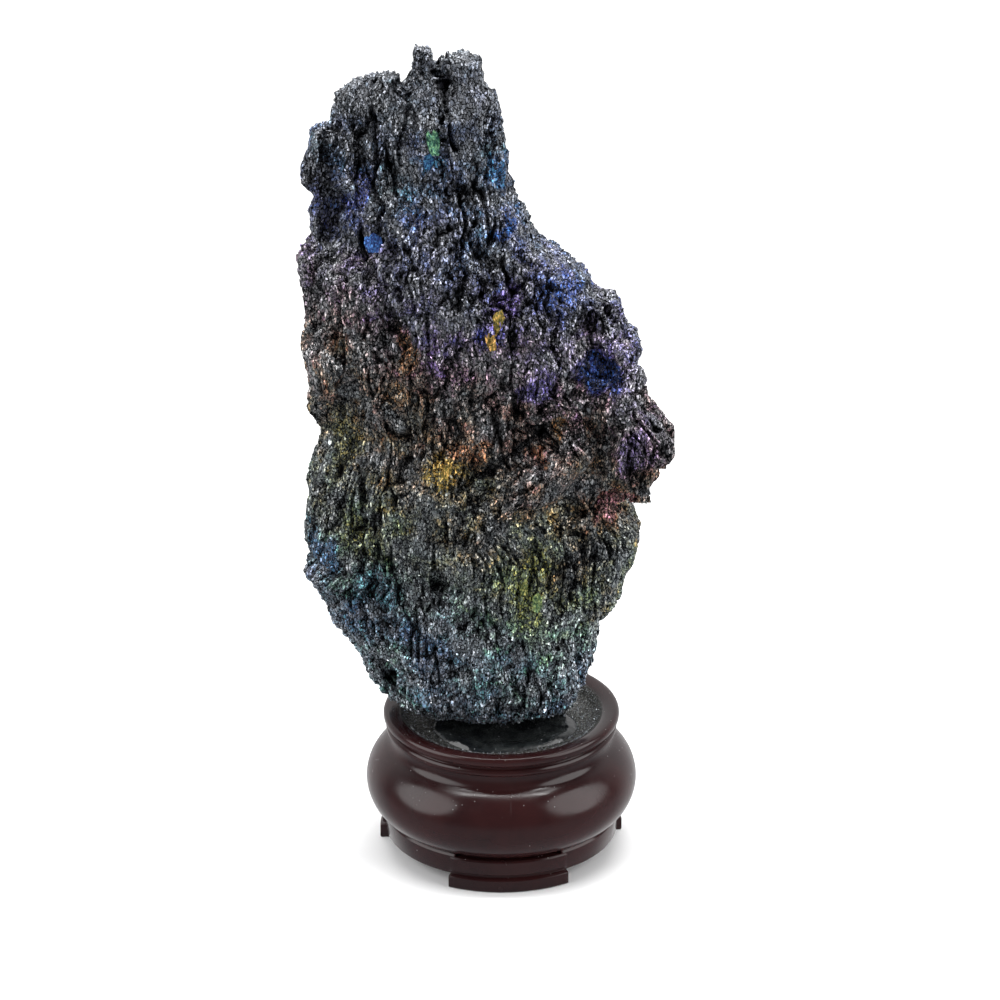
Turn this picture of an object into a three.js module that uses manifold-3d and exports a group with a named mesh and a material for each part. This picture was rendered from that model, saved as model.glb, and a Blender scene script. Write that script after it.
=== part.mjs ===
// An iridescent carborundum specimen glued into a small moulded display stand.
// Millimetres, +Z up. The solids are modelled about the stand's own axis, then moved together so
// that the origin is under the centre of the whole piece, on the surface that it stands on.
// The broad, colourful face of the specimen looks along -Y.
import * as THREE from 'three';
import { mergeVertices } from 'three/addons/utils/BufferGeometryUtils.js';
import Module from 'manifold-3d';

const wasm = await Module();
wasm.setup();

// Driving dimensions of the stand
const bellyRadius = 30.2;
const bellyCurve = 9.2;
const bellyHeight = 15.6;
const rimRadius = 26.2;
const rimHeight = 32.2;
const dishMouthRadius = 22.2;
const dishFloorRadius = 20.4;
const dishFloorHeight = 28.8;
const ringRadius = 26.1;
const ringBottom = 3;
const ringTop = 7.6;
const hollowMouthRadius = 22.8;
const hollowRoofRadius = 19.5;
const hollowRoofHeight = 26.2;
const footRadius = 27.2;
const footInnerRadius = 23.0;
const footHalfAngle = THREE.MathUtils.degToRad(29);
const footTurn = THREE.MathUtils.degToRad(3.8);
const footCount = 3;
const footStepHeight = 3.7;
const slotBottom = 7.2;
const slotTop = 8.7;
const slotDepth = 1.3;
const standSegments = 44;

// Driving dimensions of the glue bed and of the specimen's foot in it
const meetingGap = 0.3;
const glueHeight = 3.0;
const pocketFaces = 36;
const specimenBottom = dishFloorHeight + 1.2;

// Stations of the specimen's core, from its foot to its crown:
// height, left edge, right edge, front and back
const coreStations = [
  [specimenBottom, -16.7, 14.3, -9.5, 9.5],
  [34, -23, 16, -12.5, 12.5],
  [38, -26, 17, -14.5, 14.5],
  [43, -29.6, 18.6, -16, 16],
  [49, -32.2, 20.4, -17.5, 17],
  [55, -36.4, 21.6, -18.5, 18.5],
  [61, -39.2, 26, -19, 19.5],
  [67, -42.2, 27.5, -19.5, 20],
  [76, -41.8, 28, -19.5, 20.5],
  [84, -40.8, 29, -19.5, 20.5],
  [92, -39.8, 31, -19.5, 20],
  [99, -39, 31.2, -19, 19.5],
  [106, -40.4, 30.6, -18.5, 19.5],
  [113, -39.8, 29, -18, 19],
  [120, -40.2, 27.4, -17.5, 18.5],
  [127, -41, 22.6, -16.5, 17.5],
  [133, -41.6, 15.8, -15.5, 16.5],
  [138, -41.2, 10.8, -14.8, 15.8],
  [142.5, -38.6, 6, -14, 15],
  [147, -36.8, 3.6, -13.4, 14.2],
  [158, -36, -0.2, -12, 13],
  [165, -35.2, -1.2, -11.2, 12],
  [170.5, -34.2, -1.8, -10.2, 11],
  [173.5, -33, -2.4, -8.6, 9.4],
];
const coreAround = 48;
const coreLevels = 40;
const sectionPower = 0.78;

// Columns of crystal that stand up from the core: centre x and y, width, depth, foot, top,
// how far the tip is shifted in x, and the slope of the broken top
const columns = [
  { x: -30.4, y: -4.4, width: 8.6, depth: 11, foot: 156, top: 177, shift: 0.2, slope: 0.12 },
  { x: -22.6, y: -3.4, width: 9.4, depth: 11.5, foot: 158, top: 178.4, shift: -0.3, slope: 0.2 },
  { x: -15.2, y: -4.6, width: 7.2, depth: 9, foot: 150, top: 184.2, shift: -0.6, slope: -0.3 },
  { x: -7.4, y: -3.2, width: 10.6, depth: 12, foot: 150, top: 182.2, shift: 0.4, slope: -0.14 },
  { x: -11, y: -1.8, width: 3.2, depth: 5, foot: 160, top: 184, shift: -0.8, slope: -0.7 },
  { x: -38.6, y: -2.4, width: 5.6, depth: 13, foot: 140, top: 166.4, shift: 0.8, slope: 0.3 },
  { x: -27.4, y: 5.6, width: 12, depth: 9.5, foot: 156, top: 175.6, shift: 0.6, slope: 0.2 },
  { x: -15.4, y: 5.4, width: 11, depth: 10, foot: 156, top: 178.8, shift: -0.4, slope: 0.18 },
  { x: -5.8, y: 6, width: 8, depth: 8.5, foot: 150, top: 174.6, shift: -0.8, slope: -0.35 },
  { x: 2, y: 2, width: 6.4, depth: 14, foot: 126, top: 147, shift: -1, slope: -0.5 },
  { x: 9, y: 1.4, width: 8, depth: 16, foot: 118, top: 140.8, shift: -0.8, slope: -0.5 },
  { x: 17, y: 1, width: 8.6, depth: 18, foot: 108, top: 134.6, shift: -0.8, slope: -0.55 },
  { x: 25.2, y: 0, width: 7.6, depth: 17, foot: 98, top: 127.6, shift: -0.9, slope: -0.5 },
  { x: -37.6, y: 5.4, width: 8, depth: 13, foot: 112, top: 144, shift: 0.9, slope: 0.4 },
];
const columnFaces = 8;
const columnLevels = 4;

// Masses that swell out at the edges: centre, and half their width, depth and height
const lobes = [
  { x: 27.4, y: -7.5, z: 101.5, width: 8.6, depth: 12, height: 16, lean: -0.1 },
  { x: 26.5, y: 5, z: 92, width: 6.4, depth: 12, height: 15, lean: 0.1 },
  { x: -36, y: -4, z: 116, width: 6.6, depth: 13, height: 15, lean: 0.05 },
  { x: 17, y: 6, z: 58, width: 8, depth: 11, height: 13, lean: 0.1 },
];
const lobeAround = 12;
const lobeLevels = 7;
const lobeRoughness = 0.22;

// Relief of the broad faces: creases run inwards and ridges, with a negative depth, outwards.
// Each runs from one place to another, x and z, with a half width and a depth.
const frontRelief = [
  { from: [17, 126], to: [22.5, 101], width: 3.6, depth: 8 },
  { from: [21, 99], to: [13, 84], width: 3, depth: 3.6 },
  { from: [11, 106.5], to: [-9.5, 88], width: 3, depth: 4 },
  { from: [14, 99], to: [-5, 82], width: 3.6, depth: -3.4 },
  { from: [-11, 77], to: [-6.5, 75], width: 4.4, depth: -3 },
  { from: [-15.5, 82], to: [-15.5, 68], width: 3, depth: 2.2 },
  { from: [-27.2, 176], to: [-27.4, 146], width: 2.6, depth: 2.6 },
  { from: [-19, 178], to: [-19.6, 150], width: 2.4, depth: 2.8 },
  { from: [-7.5, 166], to: [-4, 136], width: 2.8, depth: 2 },
  { from: [-41, 147], to: [-30, 143], width: 3, depth: 2.6 },
  { from: [-33, 136], to: [-28, 110], width: 3.6, depth: -2.2 },
  { from: [-13, 138], to: [-11, 112], width: 4, depth: -2.4 },
  { from: [1, 138], to: [3, 112], width: 3, depth: 2.4 },
  { from: [-21, 128], to: [-20, 96], width: 3, depth: 2.4 },
  { from: [6, 82], to: [5.5, 46], width: 3, depth: 2.2 },
  { from: [17, 84], to: [15.5, 48], width: 3, depth: 2.4 },
  { from: [-38, 84], to: [-26, 76], width: 3, depth: 2 },
  { from: [-34, 62], to: [-20, 38], width: 3.2, depth: 2.4 },
  { from: [-17.5, 48], to: [-16.5, 40], width: 4, depth: -2.6 },
  { from: [-4.5, 46], to: [-4, 39], width: 3.6, depth: -2.6 },
  { from: [8.5, 44], to: [8.5, 39], width: 3.4, depth: -2.2 },
];
const backRelief = [
  { from: [-2, 158], to: [2, 96], width: 3.4, depth: 5 },
  { from: [2, 96], to: [-6, 62], width: 3, depth: 3.4 },
  { from: [26, 112], to: [8, 100], width: 3.2, depth: 3.4 },
  { from: [-38, 118], to: [-16, 98], width: 3.2, depth: 4 },
  { from: [-36, 109], to: [-20, 93], width: 4, depth: -3 },
  { from: [-20, 176], to: [-22, 142], width: 2.8, depth: 3.2 },
  { from: [-10, 134], to: [-12, 108], width: 4.4, depth: -2.8 },
  { from: [12, 86], to: [16, 60], width: 4.6, depth: -3 },
  { from: [-22, 70], to: [-18, 50], width: 4.8, depth: -3 },
  { from: [-32, 76], to: [-24, 44], width: 3, depth: 2.6 },
  { from: [4, 62], to: [5, 38], width: 3, depth: 3 },
];

// The black crack that parts the spire from the column on its right
const crack = { x: -12.6, top: 182.5, foot: 157, mouth: 1.7, root: 0.7, shift: 2.4, front: -16, back: -3.4 };

// Size and strength of the uneven surface
const fluteSpacing = 5;
const fluteLength = 26;
const fluteDepth = 1.3;
const fluteSlant = 0.1;
const lumpSize = 15;
const lumpDepth = 1.7;

const stoneFinish = new THREE.MeshStandardMaterial({ color: 0x3a3c42, roughness: 0.35, metalness: 0.6 });
const glueFinish = new THREE.MeshStandardMaterial({ color: 0x1b1f20, roughness: 0.2, metalness: 0 });
const standFinish = new THREE.MeshStandardMaterial({ color: 0x2c1a1b, roughness: 0.22, metalness: 0 });

// A closed geometry as a manifold-3d solid
function solidFrom(geometry) {
  const bare = geometry.clone();
  bare.deleteAttribute('normal');
  bare.deleteAttribute('uv');
  const merged = mergeVertices(bare, 1e-4);
  return new wasm.Manifold(new wasm.Mesh({
    numProp: 3,
    vertProperties: new Float32Array(merged.attributes.position.array),
    triVerts: new Uint32Array(merged.index.array),
  }));
}

// A manifold-3d solid as a geometry
function geometryFrom(solid) {
  const mesh = solid.getMesh();
  const geometry = new THREE.BufferGeometry();
  geometry.setAttribute('position', new THREE.BufferAttribute(mesh.vertProperties, 3));
  geometry.setIndex(new THREE.BufferAttribute(mesh.triVerts, 1));
  const flat = geometry.toNonIndexed();
  flat.computeVertexNormals();
  return flat;
}

// Repeatable noise: a value at each lattice corner, blended smoothly between corners
function corner(i, j, k) {
  const wave = Math.sin(i * 127.1 + j * 311.7 + k * 74.7) * 43758.5453;
  return 2 * (wave - Math.floor(wave)) - 1;
}

function noise(x, y, z) {
  const base = [x, y, z].map(Math.floor);
  const ease = [x, y, z].map((v, n) => THREE.MathUtils.smoothstep(v - base[n], 0, 1));
  let sum = 0;
  for (let n = 0; n < 8; n++) {
    const step = [n & 1, (n >> 1) & 1, (n >> 2) & 1];
    const share = step.reduce((all, s, axis) => all * (s ? ease[axis] : 1 - ease[axis]), 1);
    sum += share * corner(base[0] + step[0], base[1] + step[1], base[2] + step[2]);
  }
  return sum;
}

// A closed skin over rings of points, all of one count, with a point at each end
function skin(rings, bottomPoint, topPoint) {
  const count = rings[0].length;
  const positions = rings.flat().flatMap((p) => [p.x, p.y, p.z]);
  const faces = [];
  for (let level = 0; level < rings.length - 1; level++) {
    for (let n = 0; n < count; n++) {
      const a = level * count + n;
      const b = level * count + (n + 1) % count;
      const c = b + count;
      const d = a + count;
      const quad = (n + level) % 2 === 0 ? [a, b, c, a, c, d] : [a, b, d, b, c, d];
      faces.push(...quad);
    }
  }
  const bottom = positions.length / 3;
  positions.push(bottomPoint.x, bottomPoint.y, bottomPoint.z, topPoint.x, topPoint.y, topPoint.z);
  const last = (rings.length - 1) * count;
  for (let n = 0; n < count; n++) {
    const next = (n + 1) % count;
    faces.push(bottom, next, n, bottom + 1, last + n, last + next);
  }
  const geometry = new THREE.BufferGeometry();
  geometry.setAttribute('position', new THREE.Float32BufferAttribute(positions, 3));
  geometry.setIndex(faces);
  return geometry;
}

// The station values at any height, eased between the two stations around it
function stationAt(height) {
  const above = coreStations.findIndex((s) => s[0] >= height);
  const upper = coreStations[above < 1 ? 1 : above];
  const lower = coreStations[above < 1 ? 0 : above - 1];
  const share = (height - lower[0]) / (upper[0] - lower[0]);
  return upper.map((value, n) => lower[n] + share * (value - lower[n]));
}

// How far the listed relief lies below the face at a place
function reliefDepth(relief, x, z) {
  return relief.reduce((sum, { from, to, width, depth }) => {
    const run = [to[0] - from[0], to[1] - from[1]];
    const length = Math.hypot(...run);
    const along = ((x - from[0]) * run[0] + (z - from[1]) * run[1]) / length ** 2;
    const nearest = THREE.MathUtils.clamp(along, 0, 1);
    const away = Math.hypot(x - from[0] - run[0] * nearest, z - from[1] - run[1] * nearest);
    return sum + depth * Math.exp(-((away / width) ** 2));
  }, 0);
}

// Ridges and lumps of the surface at a place, outwards
function unevenness(point) {
  const along = (point.x + 0.7 * point.y + fluteSlant * point.z) / fluteSpacing;
  const across = (point.y - 0.7 * point.x) / fluteSpacing;
  const flutes = 1 - 2 * Math.abs(noise(along, across, point.z / fluteLength));
  const lumps = noise(point.x / lumpSize, point.y / lumpSize + 7, point.z / lumpSize);
  return fluteDepth * flutes + lumpDepth * lumps;
}

// A point of the core's rounded-oblong section, grown outwards by a margin
function sectionPoint([height, left, right, front, back], angle, margin) {
  const cos = Math.cos(angle);
  const sin = Math.sin(angle);
  return new THREE.Vector3(
    (left + right) / 2 + Math.sign(cos) * Math.abs(cos) ** sectionPower * ((right - left) / 2 + margin),
    (front + back) / 2 + Math.sign(sin) * Math.abs(sin) ** sectionPower * ((back - front) / 2 + margin),
    height,
  );
}

// The core of the specimen: a broad slab with a fluted, creased surface
function coreGeometry() {
  const bottom = coreStations[0][0];
  const top = coreStations[coreStations.length - 1][0];
  const rings = [];
  for (let level = 0; level <= coreLevels; level++) {
    const height = bottom + (top - bottom) * level / coreLevels;
    const station = stationAt(height);
    const rise = Math.min(1, (height - bottom) / 8);
    const ring = [];
    for (let n = 0; n < coreAround; n++) {
      const angle = 2 * Math.PI * n / coreAround;
      const cos = Math.cos(angle);
      const sin = Math.sin(angle);
      const point = sectionPoint(station, angle, 0);
      const relief = sin < 0 ? frontRelief : backRelief;
      const inwards = reliefDepth(relief, point.x, height) * Math.abs(sin) ** 0.6;
      const outwards = unevenness(point) * rise;
      point.y -= Math.sign(sin) * inwards * rise;
      point.x += outwards * cos;
      point.y += outwards * sin;
      ring.push(point);
    }
    rings.push(ring);
  }
  const capAt = (z) => {
    const [, left, right, front, back] = stationAt(z);
    return new THREE.Vector3((left + right) / 2, (front + back) / 2, z);
  };
  return skin(rings, capAt(bottom), capAt(top).add(new THREE.Vector3(0, 0, 0.8)));
}

// One upright column: an uneven prism that grows out of the core and ends in a slanted, broken top
function columnGeometry({ x, y, width, depth, foot, top, shift, slope }) {
  const rings = [];
  for (let level = 0; level <= columnLevels; level++) {
    const share = level / columnLevels;
    const girth = Math.min(1, 0.4 + 2 * share) - 0.3 * share ** 4;
    const ring = [];
    for (let n = 0; n < columnFaces; n++) {
      const angle = 2 * Math.PI * (n + 0.3) / columnFaces;
      const uneven = girth * (1 + 0.2 * noise(n * 1.7, x, share * 5) + 0.1 * noise(x, y + n, share * 2));
      const across = 0.5 * width * Math.cos(angle) * uneven;
      const through = 0.5 * depth * Math.sin(angle) * uneven;
      const lift = share ** 2 * (slope * across + 0.8 * noise(x + n, y, 3));
      ring.push(new THREE.Vector3(
        x + shift * share ** 2 + across,
        y + through,
        foot + (top - foot) * share + lift,
      ));
    }
    rings.push(ring);
  }
  const end = (z, dx) => new THREE.Vector3(x + dx, y, z);
  return skin(rings, end(foot - 1, 0), end(top + 0.3, shift));
}

// One rounded, knobbly mass
function lobeGeometry({ x, y, z, width, depth, height, lean }) {
  const rings = [];
  for (let level = 1; level < lobeLevels; level++) {
    const tilt = Math.PI * (level / lobeLevels - 0.5);
    const ring = [];
    for (let n = 0; n < lobeAround; n++) {
      const angle = 2 * Math.PI * n / lobeAround;
      const point = new THREE.Vector3(
        width * Math.cos(tilt) * Math.cos(angle),
        depth * Math.cos(tilt) * Math.sin(angle),
        height * Math.sin(tilt),
      );
      point.multiplyScalar(1 + lobeRoughness * noise(point.x / 4 + x, point.y / 4 + y, point.z / 9));
      ring.push(new THREE.Vector3(x + point.x + lean * point.z, y + point.y, z + point.z));
    }
    rings.push(ring);
  }
  const end = (up) => new THREE.Vector3(x + lean * up, y, z + up);
  return skin(rings, end(-height), end(height));
}

// The narrow, slightly bent wedge that opens the crack
function crackGeometry({ x, top, foot, mouth, root, shift, front, back }) {
  const steps = 5;
  const rings = [];
  for (let level = 0; level <= steps; level++) {
    const share = level / steps;
    const half = 0.5 * (root + (mouth - root) * share);
    const middle = x + shift * (1 - share) ** 2;
    const z = foot + (top - foot) * share;
    const corners = [[-half, front], [half, front], [half / 2, back], [-half / 2, back]];
    rings.push(corners.map(([dx, y]) => new THREE.Vector3(middle + dx, y, z)));
  }
  const middleOf = (z, px) => new THREE.Vector3(px, (front + back) / 2, z);
  return skin(rings, middleOf(foot - 0.5, x + shift), middleOf(top + 0.5, x));
}

// The specimen: one grown mass, so the core, its columns and its lobes are joined in one solid
function specimenMesh() {
  let solid = solidFrom(coreGeometry());
  columns.forEach((column) => {
    solid = solid.add(solidFrom(columnGeometry(column)));
  });
  lobes.forEach((lobe) => {
    solid = solid.add(solidFrom(lobeGeometry(lobe)));
  });
  solid = solid.subtract(solidFrom(crackGeometry(crack)));
  const mesh = new THREE.Mesh(geometryFrom(solid), stoneFinish);
  mesh.name = 'carborundum_specimen';
  return mesh;
}

// The stand's outline, from the hollow's roof out and down, up the outside and into the dish
function standProfile() {
  const bellyCentre = bellyRadius - bellyCurve;
  const points = [];
  const add = (radius, height) => points.push(new THREE.Vector2(radius, height));
  add(0, hollowRoofHeight);
  add(hollowRoofRadius, hollowRoofHeight);
  add(hollowMouthRadius, ringBottom);
  add(ringRadius - 0.2, ringBottom);
  add(ringRadius, ringTop - 0.3);
  add(ringRadius - 0.5, ringTop);
  const arcSteps = 9;
  for (let n = 0; n <= arcSteps; n++) {
    const angle = THREE.MathUtils.degToRad(-58 + 124 * n / arcSteps);
    add(bellyCentre + bellyCurve * Math.cos(angle), bellyHeight + bellyCurve * Math.sin(angle));
  }
  add(24.0, 26.1);
  add(24.7, 26.7);
  add(25.5, 27.3);
  add(25.6, 28.1);
  add(24.9, 29.2);
  add(25.5, 29.6);
  add(rimRadius, 30.3);
  add(rimRadius, rimHeight - 0.8);
  add(rimRadius - 0.5, rimHeight - 0.1);
  add(rimRadius - 1.2, rimHeight);
  add(dishMouthRadius - 0.2, rimHeight - 0.8);
  add(dishFloorRadius + 0.3, dishFloorHeight + 0.5);
  add(dishFloorRadius - 0.6, dishFloorHeight);
  add(0, dishFloorHeight);
  return points;
}

// A block bounded by two radii, two angles either side of a direction, and two heights
function arcBlock(innerRadius, outerRadius, direction, halfAngle, low, high) {
  const steps = 12;
  const outline = new THREE.Shape();
  for (let n = 0; n <= steps; n++) {
    const angle = direction - halfAngle + 2 * halfAngle * n / steps;
    const place = [outerRadius * Math.cos(angle), outerRadius * Math.sin(angle)];
    if (n === 0) outline.moveTo(...place);
    else outline.lineTo(...place);
  }
  for (let n = steps; n >= 0; n--) {
    const angle = direction - halfAngle + 2 * halfAngle * n / steps;
    outline.lineTo(innerRadius * Math.cos(angle), innerRadius * Math.sin(angle));
  }
  const block = new THREE.ExtrudeGeometry(outline, { depth: high - low, bevelEnabled: false });
  return solidFrom(block.translate(0, 0, low));
}

// The stand: one moulding with a dish on top, a bulging belly, a ring and three feet
function standMesh() {
  const turned = new THREE.LatheGeometry(standProfile(), standSegments).rotateX(Math.PI / 2);
  let solid = solidFrom(turned);
  for (let n = 0; n < footCount; n++) {
    const direction = -Math.PI / 2 + footTurn + 2 * Math.PI * n / footCount;
    const pad = arcBlock(footInnerRadius, footRadius, direction, footHalfAngle, 0, ringBottom);
    const apron = arcBlock(
      footInnerRadius, footRadius - 0.6, direction, footHalfAngle, ringBottom - 0.2, slotBottom);
    const groove = arcBlock(
      footRadius - 1.3, footRadius + 1, direction, footHalfAngle * 1.1, ringBottom, footStepHeight);
    const slot = arcBlock(
      ringRadius - slotDepth, footRadius + 2, direction, footHalfAngle * 0.92, slotBottom, slotTop);
    solid = solid.add(pad).add(apron).subtract(groove).subtract(slot);
  }
  const mesh = new THREE.Mesh(geometryFrom(solid), standFinish);
  mesh.name = 'stand';
  return mesh;
}

// Points round the specimen's foot at a height, grown outwards by a margin
function pocketRing(margin, height) {
  const station = stationAt(Math.max(height, specimenBottom));
  station[0] = height;
  const ring = [];
  for (let n = 0; n < pocketFaces; n++) {
    ring.push(sectionPoint(station, 2 * Math.PI * n / pocketFaces, margin));
  }
  return ring;
}

// The glue bed: a low, uneven pool on the dish floor, with a pocket that the specimen's foot sits in
function glueMesh() {
  const bottom = dishFloorHeight + meetingGap;
  const around = 24;
  const levels = [
    { share: 0.97, height: bottom },
    { share: 1, height: bottom + 0.5 },
    { share: 0.93, height: bottom + 1.3 },
    { share: 0.84, height: bottom + glueHeight - 1 },
  ];
  const rings = levels.map(({ share, height }) => {
    const ring = [];
    for (let n = 0; n < around; n++) {
      const angle = 2 * Math.PI * n / around;
      const ripple = 0.95 + 0.05 * noise(3 * Math.cos(angle), 3 * Math.sin(angle), 5);
      const reach = (dishFloorRadius - 1.2) * share * ripple;
      ring.push(new THREE.Vector3(reach * Math.cos(angle), reach * Math.sin(angle), height));
    }
    return ring;
  });
  const end = (height) => new THREE.Vector3(0, 0, height);
  const pool = solidFrom(skin(rings, end(bottom), end(bottom + glueHeight)));
  const pocketTop = bottom + glueHeight + 4;
  const pocketRings = [pocketRing(0.8, specimenBottom - meetingGap), pocketRing(2.4, pocketTop)];
  const pocket = solidFrom(skin(pocketRings, end(specimenBottom - meetingGap), end(pocketTop)));
  const mesh = new THREE.Mesh(geometryFrom(pool.subtract(pocket)), glueFinish);
  mesh.name = 'glue_bed';
  return mesh;
}

const part = new THREE.Group();
part.name = 'carborundum_on_stand';
part.add(standMesh(), glueMesh(), specimenMesh());

const reach = new THREE.Box3().setFromObject(part, true);
const middle = reach.getCenter(new THREE.Vector3());
part.position.set(-middle.x, -middle.y, -reach.min.z);

export default part;
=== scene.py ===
import math

import bpy
import numpy as np
from mathutils import Matrix, Vector, noise


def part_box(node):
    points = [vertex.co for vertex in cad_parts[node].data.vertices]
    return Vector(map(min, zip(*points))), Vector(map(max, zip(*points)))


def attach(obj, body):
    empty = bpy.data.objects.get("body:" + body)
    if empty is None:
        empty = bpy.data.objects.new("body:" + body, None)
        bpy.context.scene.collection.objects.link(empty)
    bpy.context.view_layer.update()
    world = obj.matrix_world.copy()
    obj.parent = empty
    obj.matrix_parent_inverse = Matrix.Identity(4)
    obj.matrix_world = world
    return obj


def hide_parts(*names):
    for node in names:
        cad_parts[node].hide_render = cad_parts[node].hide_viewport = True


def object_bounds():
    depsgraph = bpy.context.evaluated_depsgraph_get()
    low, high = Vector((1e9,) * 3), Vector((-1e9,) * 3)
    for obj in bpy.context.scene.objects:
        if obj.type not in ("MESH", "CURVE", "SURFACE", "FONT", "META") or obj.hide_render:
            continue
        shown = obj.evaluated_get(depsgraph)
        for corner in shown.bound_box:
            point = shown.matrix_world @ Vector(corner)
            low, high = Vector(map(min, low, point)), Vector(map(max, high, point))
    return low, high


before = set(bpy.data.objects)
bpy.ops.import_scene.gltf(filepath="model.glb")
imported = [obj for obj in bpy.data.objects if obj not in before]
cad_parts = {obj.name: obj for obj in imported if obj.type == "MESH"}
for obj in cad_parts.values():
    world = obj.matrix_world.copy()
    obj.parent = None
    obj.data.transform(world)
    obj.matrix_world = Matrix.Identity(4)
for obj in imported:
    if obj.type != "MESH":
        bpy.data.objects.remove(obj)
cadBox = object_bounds()
mm = 0.001

# The stand's upright axis is the middle of its node, and everything else is placed from it
standLow, standHigh = (Vector(corner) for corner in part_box("stand"))
axisX = (standLow.x + standHigh.x) / 2
axisY = (standLow.y + standHigh.y) / 2
standCentre = Vector((axisX, axisY, 0))


# Small helpers that several pieces use

def deselectAll():
    if bpy.context.mode != "OBJECT":
        bpy.ops.object.mode_set(mode="OBJECT")
    bpy.ops.object.select_all(action="DESELECT")


def makeActive(piece):
    deselectAll()
    piece.select_set(True)
    bpy.context.view_layer.objects.active = piece


def openMesh(piece):
    # The piece's mesh is opened for editing, with all of it selected
    makeActive(piece)
    bpy.ops.object.mode_set(mode="EDIT")
    bpy.ops.mesh.select_all(action="SELECT")


def closeMesh():
    # Every face is turned outwards, and the edited mesh is closed
    bpy.ops.mesh.select_all(action="SELECT")
    bpy.ops.mesh.normals_make_consistent(inside=False)
    bpy.ops.object.mode_set(mode="OBJECT")


def applyModifier(piece, kind, **settings):
    makeActive(piece)
    modifier = piece.modifiers.new(kind.title(), kind)
    for name, value in settings.items():
        setattr(modifier, name, value)
    bpy.ops.object.modifier_apply(modifier=modifier.name)


def settle(piece):
    # The finished piece keeps its place in its mesh, and its object sits at the origin
    makeActive(piece)
    bpy.ops.object.transform_apply(location=True, rotation=True, scale=True)


def copyOfNode(nodeName, pieceName):
    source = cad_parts[nodeName]
    piece = bpy.data.objects.new(pieceName, source.data.copy())
    bpy.context.collection.objects.link(piece)
    piece.data.materials.clear()
    openMesh(piece)
    bpy.ops.mesh.remove_doubles(threshold=0.000005)
    closeMesh()
    return piece


def readVectors(source, name):
    flat = np.empty(len(source) * 3, dtype=np.float32)
    source.foreach_get(name, flat)
    return flat.reshape(-1, 3)


def readPoints(mesh):
    return readVectors(mesh.vertices, "co").astype(float)


def readNormals(mesh):
    return readVectors(mesh.vertex_normals, "vector").astype(float)


def writePoints(mesh, points):
    mesh.vertices.foreach_set("co", points.astype(np.float32).ravel())
    mesh.update()


def writeValues(mesh, name, values):
    attribute = mesh.attributes.new(name, "FLOAT", "POINT")
    attribute.data.foreach_set("value", values.astype(np.float32))


def readValues(mesh, name):
    values = np.empty(len(mesh.vertices), dtype=np.float32)
    mesh.attributes[name].data.foreach_get("value", values)
    return values


def shadeSmooth(piece, angle=180):
    makeActive(piece)
    bpy.ops.object.shade_smooth_by_angle(angle=math.radians(angle))


# Shader helpers

def feed(tree, node, values):
    # A plain value is set on its socket, a node's output is linked to it and None is left out
    for name, value in values.items():
        if isinstance(value, bpy.types.NodeSocket):
            tree.links.new(value, node.inputs[name])
        elif value is not None:
            node.inputs[name].default_value = value


def addNode(tree, kind, values=None, **settings):
    node = tree.nodes.new(kind)
    for name, value in settings.items():
        setattr(node, name, value)
    feed(tree, node, values or {})
    return node


def mathNode(tree, operation, first, second=None, third=None, clamp=False):
    values = {0: first, 1: second, 2: third}
    return addNode(tree, "ShaderNodeMath", values, operation=operation, use_clamp=clamp).outputs[0]


def vectorNode(tree, operation, first, second=None, output=0):
    values = {0: first, 1: second}
    return addNode(tree, "ShaderNodeVectorMath", values, operation=operation).outputs[output]


def scaleVector(tree, vector, factor):
    values = {0: vector, "Scale": factor}
    return addNode(tree, "ShaderNodeVectorMath", values, operation="SCALE").outputs[0]


def splitVector(tree, vector):
    return addNode(tree, "ShaderNodeSeparateXYZ", {0: vector}).outputs


def mapRange(tree, value, low, high, newLow=0.0, newHigh=1.0, smooth=True):
    values = {"Value": value, "From Min": low, "From Max": high, "To Min": newLow, "To Max": newHigh}
    kind = "SMOOTHSTEP" if smooth else "LINEAR"
    return addNode(tree, "ShaderNodeMapRange", values, interpolation_type=kind).outputs["Result"]


def noiseNode(tree, vector, scale, detail=2.0, roughness=0.5, output="Fac"):
    values = {"Vector": vector, "Scale": scale, "Detail": detail, "Roughness": roughness}
    return addNode(tree, "ShaderNodeTexNoise", values).outputs[output]


def wanderNode(tree, vector, scale, detail, reach):
    # A noise that pushes a place about, by up to half the reach each way
    push = noiseNode(tree, vector, scale, detail, 0.6, "Color")
    return scaleVector(tree, vectorNode(tree, "SUBTRACT", push, (0.5, 0.5, 0.5)), reach)


def mixColour(tree, factor, first, second, blend="MIX"):
    values = {0: factor, 6: first, 7: second}
    return addNode(tree, "ShaderNodeMix", values, data_type="RGBA", blend_type=blend).outputs[2]


def mixValue(tree, factor, first, second):
    values = {0: factor, 2: first, 3: second}
    return addNode(tree, "ShaderNodeMix", values, data_type="FLOAT").outputs[0]


def attributeNode(tree, name):
    return addNode(tree, "ShaderNodeAttribute", attribute_name=name).outputs["Fac"]


def addRelief(tree, shader, height, strength, distance):
    values = {"Strength": strength, "Distance": distance, "Height": height}
    feed(tree, shader, {"Normal": addNode(tree, "ShaderNodeBump", values).outputs[0]})


def newGroup(name, inputs, outputs):
    group = bpy.data.node_groups.new(name, "ShaderNodeTree")
    for socketName, kind, value in inputs:
        socket = group.interface.new_socket(name=socketName, in_out="INPUT", socket_type=kind)
        if value is not None:
            socket.default_value = value
    for socketName, kind in outputs:
        group.interface.new_socket(name=socketName, in_out="OUTPUT", socket_type=kind)
    return group, group.nodes.new("NodeGroupInput"), group.nodes.new("NodeGroupOutput")


def placeGroup(tree, group, **values):
    return addNode(tree, "ShaderNodeGroup", values, node_tree=group)


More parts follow.
